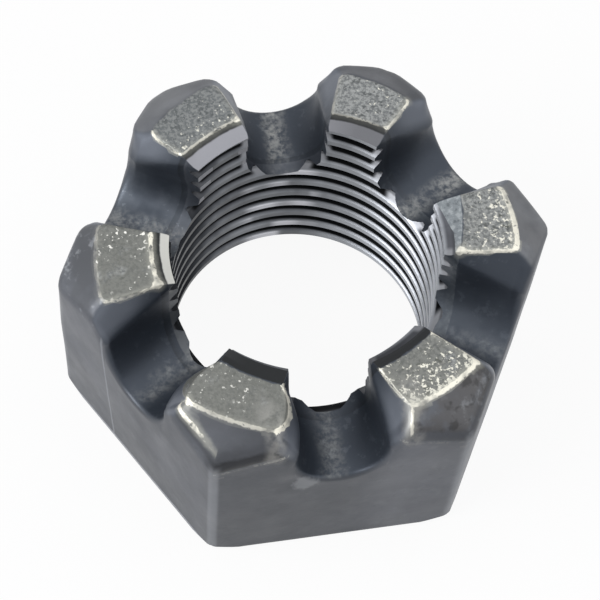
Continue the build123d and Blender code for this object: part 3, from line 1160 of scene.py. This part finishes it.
# %% Forged faces
# Hot-forged steel with its scale on: a dark satin, with soft clouds and no mirror
scale_steel.use_nodes = True
tree = scale_steel.node_tree
skin = tree.nodes["Principled BSDF"]
place = add_node(tree, "ShaderNodeTexCoord").outputs["Object"]
IN_SLOT, ON_CROWN_SIDE = ("slot_side", 0.25, -0.35), ("crown_side", -0.1, 0.4)
scale = coats(tree, place, "#505359", [
    # Soft clouds of oxide, 6 mm across, freckles of 1 mm where it rubbed off, and pits
    ("#5d6067", 1.0, [(6.0, 0.35, 0.65)]),
    ("#7b7e83", 0.25, [(1.0, 0.55, 0.75)]),
    ("#3d4045", 0.25, [(0.35, 0.60, 0.72)]),
    # Crowns: darker clouds, paler clouds of painted light, fine scuffs, dark patches of painted shade, and
    # the band of painted shade at the lip
    ("#484a4e", 0.60, [ON_CROWN_SIDE, (2.2, 0.42, 0.60)]),
    ("#85878a", 0.55, [ON_CROWN_SIDE, ("crown_painted_light", 0, 1), (3.0, 0.25, 0.55)]),
    ("#aeb2b8", 0.40, [("crown_side", -1.5, 0.3), ("scuffed", 0, 1), (0.5, 0.54, 0.66), (2.0, 0.45, 0.6)]),
    ("#3d3f43", 0.50, [ON_CROWN_SIDE, ("crown_painted_shade", 0, 1)]),
    ("#28292c", 0.9, [
        ("lip_painted_shade", 0, 1), ("lip_side", 0.05, 0.3, 0.6, 0.3), ("lip_side", 1.5, 1.0, 0.6, 0.6),
    ]),
    # Corners of the hexagon: a paler strip where the scale has rubbed thin
    ("#8c8f94", 0.45, [("corner_gap", 0.75, 0.15, 1.2, 0.4), ("crown_side", 0.1, -0.6)]),
    # Flats in front: darker, as painted shade
    ("#3a3d42", 0.62, [("flat_shade", 0, 1), ("crown_side", -0.3, -1.2), ("corner_gap", 0.35, 0.6)]),
    # Brown oxide on the front right crown, mottled with black
    ("#4b4846", 0.55, [("brown", 0, 1), ON_CROWN_SIDE, (1.4, 0.35, 0.55)]),
    ("#2b2a2a", 0.65, [("brown", 0.3, 1), ON_CROWN_SIDE, (0.9, 0.52, 0.62)]),
    # The lap, the chip, and the bright foot of the flat that has the lap
    ("#8d9096", 0.6, [("lap_across", 0.16, 0.05, 0.5, 0.1), ("lap_across", -0.16, -0.05, 0.5, 0.1)]),
    ("#83868a", 0.55, [("chip_gap", 1.4, 0.8, 0.7, 2.2)]),
    ("#b0b3bb", 0.7, [("foot_line", 0.75, 0.62, 1.0, 0.1), ("foot_line", 0.36, 0.48, 1.0, 0.1)]),
    # Slots never see what rubs the outside, so their scale stays unrubbed, and they are painted blue-black
    # as shade, with a few lighter spots
    ("#383e47", 1.0, [IN_SLOT]),
    ("#6b727b", 0.20, [IN_SLOT, (0.5, 0.57, 0.68), (4.0, 0.4, 0.6)]),
    # Lighter patches and fine scratches, the scratches drawn at 0.22 mm so that they show
    ("#666c74", 0.40, [IN_SLOT, ("slot_light", 0, 1), ("flare_side", -1.0, -2.5), (2.0, 0.35, 0.60)]),
    ("#8d949b", 0.45, [IN_SLOT, ("slot_light", 0.4, 1), (0.22, 0.60, 0.68), (2.0, 0.45, 0.60)]),
    # Flares, and a pale strip along each slot's floor
    ("#5f646d", 1.0, [IN_SLOT, ("flare_side", -0.3, 1.1), ("flare_pale", 0, 1), ("outward", 1.5, 5.0)]),
    ("#999a98", 0.80, [
        IN_SLOT, ("floor_pale", 0, 1), ("from_middle", 1.6, 0.3, 0.8, 0.8), (2.4, 0.25, 0.60),
        (0.25, 0.30, 0.70),
    ]),
])
print("Nodes for the forged faces:", len(tree.nodes))

# %% Torn tops
# Sheared steel: grains of 0.1 to 0.15 mm, drawn at up to 0.25 mm so that they show, dark pits, and chips
# that sparkle. The first three coats are the grains
torn = coats(tree, place, "#686b6c", [
    ("#959796", 0.9, [(0.15, 0.38, 0.60)]),
    ("#676863", 0.8, [("warm_top", 0, 1), (0.9, 0.20, 0.45)]),
    ("#484b4c", 0.75, [(0.2, 0.45, 0.36), ("warm_top", 1.4, 0.2)]),
    ("#4f5456", 0.40, [("top_dull", 0, 1)]),
    # Where a corner sparkles, dark pits make the bright chips stand out
    ("#45473f", 0.60, [("sparkle", 0.45, 0.9), (0.30, 0.42, 0.34)]),
    ("#dedcd0", 0.92, [("sparkle", 0.92, 1.22, 0.24, 3.4)]),
    # Bright flecks and dark pits on the left
    ("#e9e8e2", 0.95, [("flecked", 0, 1), (1.8, 0.44, 0.54), (0.22, 0.59, 0.65)]),
    ("#4a4c49", 0.60, [("flecked", 0, 1), (0.7, 0.36, 0.28)]),
])
on_top = mask(tree, place, 1.0, [("top_face", 0.0, 0.15, 0.7, 0.5)])
print("Nodes with the torn tops:", len(tree.nodes))

# %% Countersink behind the tops
# Blackened next to the torn metal, and bare where the tap's lead ran: a thin bright strip over the thread
well = coats(tree, place, "#1d1f21", [
    ("#5d6066", 0.9, [("well_dark", 0.8, 0.1), (0.5, 0.2, 0.5)]),
    ("#8f9096", 0.9, [("well_reach", 1.20, 1.05, 0.8, 0.2), ("well_light", 0.0, 0.8)]),
    # On the left the strip is narrower and brighter, with a black line beside it
    ("#1d1f21", 1.0, [("well_reach", 0.85, 1.00, 0.8, 0.2), ("flecked", 0.7, 1.0)]),
    ("#c4c4be", 0.9, [("well_reach", 1.00, 0.85, 0.8, 0.2), ("flecked", 0.7, 1.0)]),
    # On the right it is all grey, mottled light and dark
    ("#747a7e", 1.0, [("streaked", 0, 1)]),
    ("#989da0", 0.7, [("streaked", 0, 1), (0.3, 0.48, 0.62)]),
    ("#4d5256", 0.7, [("streaked", 0, 1), (0.3, 0.44, 0.34)]),
])
print("Nodes with the countersink:", len(tree.nodes))

# %% Worn edges, painted highlights and relief
SCALE_METALLIC, SCALE_ROUGHNESS, TORN_ROUGHER = 0.6, (0.38, 0.52), 0.08
# Sizes of the torn grains and of the pits, their depth in mm, the pits' share of it, and how much of the
# whole the reflections show
GRAIN_SIZE, PIT_SIZE, RELIEF_DEPTH, PIT_SHARE, RELIEF_STRENGTH = 0.18, 0.35, 0.1, 0.3, 0.5
colour = coats(tree, place, scale, [
    (torn, on_top, []),
    (well, 1.0, [("well_reach", 1.74, 1.62, 0.5, 0.3), ("from_slot", -0.02, 0.08)]),
    ("#9b9a96", 0.60, [("arris_gap", 1.3, 0.2, 0.6, 0.8), (0.8, 0.30, 0.55)]),
    # A soft pale margin, and a bright line broken up by nicks
    ("#a5a59c", 0.40, [("line_gap", 0.55, 0.0, 0.5, 0.5), ("line_light", 0.1, 1.0)]),
    ("#e2dfd2", 1.0, [
        ("line_gap", 0.08, -0.03, 0.3, 0.4), ("line_light", 0, 1), (1.3, 0.30, 0.54), (0.3, 0.33, 0.42),
    ]),
])
tree.links.new(colour.outputs[2], skin.inputs["Base Color"])
skin.inputs["Metallic"].default_value = SCALE_METALLIC
dull = drift(tree, place, 2.5, 5, *SCALE_ROUGHNESS)
rough = add_node(tree, "ShaderNodeMath", MULTIPLY_ADD, {0: on_top, 1: TORN_ROUGHER, 2: dull})
tree.links.new(rough.outputs[0], skin.inputs["Roughness"])
# Grains only on the torn tops, pits everywhere
grain = add_node(tree, "ShaderNodeTexNoise", inputs=lumps_of(place, GRAIN_SIZE, 2, 0.75))
pits = add_node(tree, "ShaderNodeTexNoise", inputs=lumps_of(place, PIT_SIZE, 4))
torn_relief = add_node(tree, "ShaderNodeMath", MULTIPLY, {0: on_top, 1: grain})
relief = add_node(tree, "ShaderNodeMath", MULTIPLY_ADD, {0: pits, 1: PIT_SHARE, 2: torn_relief})
bumps = {"Strength": RELIEF_STRENGTH, "Distance": RELIEF_DEPTH * MM, "Height": relief}
tree.links.new(add_node(tree, "ShaderNodeBump", inputs=bumps).outputs[0], skin.inputs["Normal"])
print("Nodes in the forged steel:", len(tree.nodes))

# %% [markdown]
# ## The tapped thread
#
# A tap leaves bare steel with fine marks along the groove. The root and the foot of each flank lie in
# shadow, which the eye reads as thin black lines between silvery turns. That shade is painted into the
# colour, and left out where the groove opens into a slot. Shade could be found with Ambient Occlusion. The
# distance from the bore does it better, because it tells crests, flanks and roots apart and needs no extra
# rays.

# %% Bare steel
# Steel cut by a tap: bright metal, smoother than the scale
CUT_METALLIC, CUT_ROUGHNESS = 1.0, (0.28, 0.42)
# Marks of the tap: far finer on the real thread, and drawn at this size and depth in mm so that they show,
# and how much of them the reflections show
MARK_SIZE, MARK_DEPTH, MARK_STRENGTH = 0.25, 0.03, 0.2
cut_steel.use_nodes = True
tree = cut_steel.node_tree
skin = tree.nodes["Principled BSDF"]
place = add_node(tree, "ShaderNodeTexCoord").outputs["Object"]
AT_SLOT = ("from_slot", 0.7, 0.25)
# Flanks: darker than the crests as painted shade, and lighter where the groove opens into a slot
flank = coats(tree, place, "#1d1e21", [
    ("#66686e", 1.0, [("bore_light_and_shade", 0.0, 1.0, 3.0, 0.5)]),
    ("#9a9ca1", 0.6, [AT_SLOT, ("bore_light_and_shade", 0.0, 0.6)]),
])
colour = coats(tree, place, "#212326", [
    # Crests with painted light and shade round the bore, then the flanks behind them in painted shade, and
    # painted glints along some crests
    ("#b4b8bf", 1.0, [("bore_light_and_shade", 0.0, 1.0, 3.0, 0.6)]),
    (flank, 1.0, [("outward", 0.0, 0.4)]),
    ("#c4c5cc", 0.75, [("glint", 0, 1), ("outward", 0.20, 0.0), ("streak", 0.0, 0.9)]),
    # Painted shade, black at the foot of the flanks and lighter on the root's flat
    ("#0c0d0e", 1.0, [("root_shade", 0.26, 0.42), ("from_slot", 0.25, 0.7), ("below_top", 0.7, 1.5)]),
    ("#46484c", 0.8, [("outward", 0.60, 0.80)]),
])
tree.links.new(colour.outputs[2], skin.inputs["Base Color"])
skin.inputs["Metallic"].default_value = CUT_METALLIC
rough = drift(tree, place, 1.5, 4, *CUT_ROUGHNESS)
tree.links.new(rough.outputs[0], skin.inputs["Roughness"])
tap_marks = add_node(tree, "ShaderNodeTexNoise", inputs=lumps_of(place, MARK_SIZE))
bumps = {"Strength": MARK_STRENGTH, "Distance": MARK_DEPTH * MM, "Height": tap_marks}
tree.links.new(add_node(tree, "ShaderNodeBump", inputs=bumps).outputs[0], skin.inputs["Normal"])
print("Nodes in the bare steel:", len(tree.nodes))

# %% [markdown]
# ## Floor, lamps and background
#
# The photograph is a cut-out on white, lit softly from the left. A picture of a studio could light the nut,
# but a few large lamps are simpler and need no file: one on the left, a weaker one on the right and one
# overhead, over a white table. The background is white for the camera and for reflections only, so it adds
# no light of its own, and the table keeps the nut's shadow.


# %% Background
SOFT_LIGHT = 0.25


def white_to_the_camera(tree):
    """A share that is 1 for rays from the camera and for reflections, 0 for light that lands on things."""
    rays = add_node(tree, "ShaderNodeLightPath").outputs
    seen = add_node(tree, "ShaderNodeMath", MAXIMUM, {0: rays["Is Camera Ray"], 1: rays["Is Glossy Ray"]})
    return add_node(tree, "ShaderNodeMath", MAXIMUM, {0: seen, 1: rays["Is Transmission Ray"]})


world = bpy.data.worlds.new("white_studio")
bpy.context.scene.world = world
bpy.context.scene.view_settings.view_transform = "Standard"
world.use_nodes = True
tree = world.node_tree
tree.nodes.clear()
room = {"Color": linear_colour("#f4f6ff"), "Strength": SOFT_LIGHT}
soft_light = add_node(tree, "ShaderNodeBackground", inputs=room)
white = add_node(tree, "ShaderNodeBackground", inputs={"Color": (1, 1, 1, 1), "Strength": 1.0})
share = white_to_the_camera(tree)
both = add_node(tree, "ShaderNodeMixShader", inputs={0: share, 1: soft_light, 2: white})
add_node(tree, "ShaderNodeOutputWorld", inputs={"Surface": both})
print("World:", world.name)

# %% Table
# Half the table's side, in metres, and how white the camera sees it: the rest shows the nut's shadow
TABLE_REACH, TABLE_WHITE = 0.6, 0.93
square = [(TABLE_REACH * a, TABLE_REACH * b, 0) for a, b in ((-1, -1), (1, -1), (1, 1), (-1, 1))]
floor_mesh = bpy.data.meshes.new("floor")
floor_mesh.from_pydata(square, [], [(0, 1, 2, 3)])
floor = add_object("floor", floor_mesh)
floor_paint = bpy.data.materials.new("white_laminate_table")
floor_paint.use_nodes = True
tree = floor_paint.node_tree
tree.nodes.clear()
matt = add_node(tree, "ShaderNodeBsdfDiffuse", inputs={"Color": linear_colour("#f2f2f2")})
glow = add_node(tree, "ShaderNodeEmission", inputs={"Color": (1, 1, 1, 1), "Strength": 1.0})
share = add_node(tree, "ShaderNodeMath", MULTIPLY, {0: white_to_the_camera(tree), 1: TABLE_WHITE})
both = add_node(tree, "ShaderNodeMixShader", inputs={0: share, 1: matt, 2: glow})
add_node(tree, "ShaderNodeOutputMaterial", inputs={"Surface": both})
floor_mesh.materials.append(floor_paint)
print("Table's side, m:", 2 * TABLE_REACH)

# %% Lamps
# Each lamp: degrees round the nut and above the table, distance and side in metres, and watts
LAMPS = {
    "large_left_lamp": (190, 34, 0.5, 0.35, 2.0),
    "weak_right_lamp": (-15, 42, 0.5, 0.7, 1.1),
    "overhead_lamp": (100, 70, 0.5, 0.5, 0.6),
}
LAMP_TARGET = Vector((0, 0, 0.01))

for name, (azimuth, elevation, distance, side, watts) in LAMPS.items():
    turn, rise = math.radians(azimuth), math.radians(elevation)
    toward_lamp = Vector((math.cos(turn) * math.cos(rise), math.sin(turn) * math.cos(rise), math.sin(rise)))
    lamp = bpy.data.lights.new(name, "AREA")
    lamp.shape, lamp.size, lamp.energy = "SQUARE", side, watts
    holder = add_object(name, lamp)
    holder.location = LAMP_TARGET + distance * toward_lamp
    holder.rotation_euler = toward_lamp.to_track_quat("Z", "Y").to_euler()
print("Lamps:", ", ".join(LAMPS))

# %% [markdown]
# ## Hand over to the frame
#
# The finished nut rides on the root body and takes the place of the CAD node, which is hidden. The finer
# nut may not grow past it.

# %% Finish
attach(nut, "root")
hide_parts("hub_nut")
print("Triangles in the nut:", sum(len(face.vertices) - 2 for face in nut.data.polygons))
